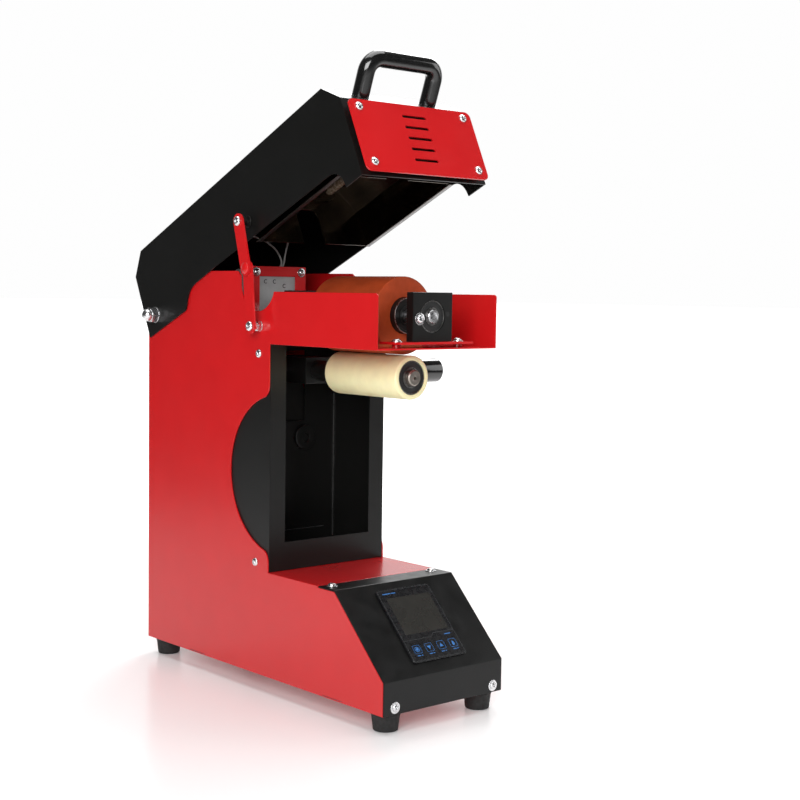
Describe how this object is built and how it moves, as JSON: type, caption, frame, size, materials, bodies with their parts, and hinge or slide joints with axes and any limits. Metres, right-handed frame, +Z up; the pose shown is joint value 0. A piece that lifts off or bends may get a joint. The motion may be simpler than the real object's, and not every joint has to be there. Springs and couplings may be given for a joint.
{
  "type": "mug heat press",
  "caption": "Bench heat press for mugs: C-shaped body, driven silicone roller under a hinged heated lid, and a plain roller on a sprung arm below it.",
  "frame": {"origin": "middle of the whole machine's bounding box, on the surface that the feet stand on", "axes": "+Z up, front towards -Y, +X to the right seen from the front, with the lever grip on that side"},
  "size_m": [0.309, 0.5674, 0.8338],
  "materials": {
    "red_coat": "glossy powder coat",
    "black_coat": "semi-gloss powder coat",
    "textured_black": "fine-textured powder coat",
    "silicone": "matt silicone",
    "nylon": "satin",
    "black_grip": "gloss",
    "foot_rubber": "matt",
    "steel": "turned",
    "chrome": "polished",
    "dark_steel": "blackened",
    "cast_grey": "cast",
    "mirror_steel": "bright rolled, heat tinted",
    "quartz": "frosted",
    "ceramic": "matt ceramic",
    "screen": "glass front",
    "dark_plastic": "moulded",
    "grey_wire": "wire insulation",
    "board": "solder mask"
  },
  "bodies": {
    "root": {"left_side_panel": "red_coat", "right_side_panel": "red_coat", "rear_panel": "red_coat", "base_plate": "red_coat", "base_deck": "red_coat", "control_panel": "textured_black", "display_bezel": "dark_plastic", "display_module": "screen", "column_frame": "black_coat", "trough_floor": "red_coat", "front_block_base": "red_coat", "front_bearing_block": "black_coat", "front_roller_bearing": "steel", "rear_bearing_block": "black_coat", "rear_roller_bearing": "steel", "motor_bracket": "red_coat", "gear_head": "cast_grey", "drive_motor": "dark_steel", "spring_bolt": "black_coat", "press_spring": "steel", "left_pivot_bushing": "dark_steel", "right_pivot_bushing": "dark_steel", "hinge_rod": "steel", "left_hinge_nut": "chrome", "right_hinge_nut": "chrome", "stay_body_pin": "steel", "front_left_foot": "foot_rubber", "front_right_foot": "foot_rubber", "rear_left_foot": "foot_rubber", "rear_right_foot": "foot_rubber", "power_inlet": "dark_plastic", "power_supply": "steel", "control_board": "board", "heater_leads": "grey_wire"},
    "roller": {"roller_shaft": "steel", "roller_core": "cast_grey", "silicone_sleeve": "silicone", "front_roller_hub": "black_coat", "rear_roller_hub": "black_coat", "shaft_coupling": "steel"},
    "mandrel_arm": {"pivot_block": "dark_steel", "cross_shaft": "steel", "mandrel_shaft": "dark_steel", "press_lever": "dark_steel", "lever_grip": "black_grip"},
    "mandrel": {"mandrel_sleeve": "nylon", "mandrel_front_bearing": "steel", "mandrel_rear_bearing": "steel"},
    "lid": {"lid_shell": "black_coat", "lid_front_plate": "red_coat", "lid_handle": "black_grip", "reflector_hood": "mirror_steel", "left_heater_tube": "quartz", "right_heater_tube": "quartz", "front_tube_holder": "ceramic", "rear_tube_holder": "ceramic", "stay_lid_pin": "steel"},
    "stay_upper": {"stay_upper_link": "red_coat"},
    "stay_lower": {"stay_lower_link": "red_coat"},
    "switch_rocker": {"power_rocker": "dark_plastic"}
  },
  "joints": [
    {"name": "lid_hinge", "type": "hinge", "parent": "root", "child": "lid", "pos_m": [-0.0295, 0.22793, 0.4971], "axis": [1, 0, 0], "range_deg": [0, 24.7], "deforming": ["heater_leads"]},
    {"name": "stay_lower_pivot", "type": "hinge", "parent": "root", "child": "stay_lower", "pos_m": [-0.145, -0.02467, 0.4876], "axis": [1, 0, 0], "range_deg": [0, 76.61]},
    {"name": "stay_upper_pivot", "type": "hinge", "parent": "lid", "child": "stay_upper", "pos_m": [-0.1485, -0.00067, 0.6245], "axis": [1, 0, 0], "range_deg": [-94.45, 0]},
    {"name": "roller_spin", "type": "hinge", "parent": "root", "child": "roller", "pos_m": [-0.0295, -0.12767, 0.505], "axis": [0, 1, 0], "continuous": true},
    {"name": "mandrel_tilt", "type": "hinge", "parent": "root", "child": "mandrel_arm", "pos_m": [-0.0295, 0.03433, 0.4268], "axis": [1, 0, 0], "range_deg": [0, 12], "stiffness_Nm_per_rad": 20, "springref_deg": -17.19, "deforming": ["press_spring"]},
    {"name": "mandrel_spin", "type": "hinge", "parent": "mandrel_arm", "child": "mandrel", "pos_m": [-0.0295, -0.13867, 0.4268], "axis": [0, 1, 0], "continuous": true},
    {"name": "power_switch", "type": "hinge", "parent": "root", "child": "switch_rocker", "pos_m": [0.0205, 0.25383, 0.091], "axis": [1, 0, 0], "range_deg": [0, 11]}
  ],
  "couplings": [
    {"joint": "stay_lower_pivot", "follows": "lid_hinge", "ratio": 3.0996},
    {"joint": "stay_upper_pivot", "follows": "lid_hinge", "ratio": -3.8217}
  ]
}
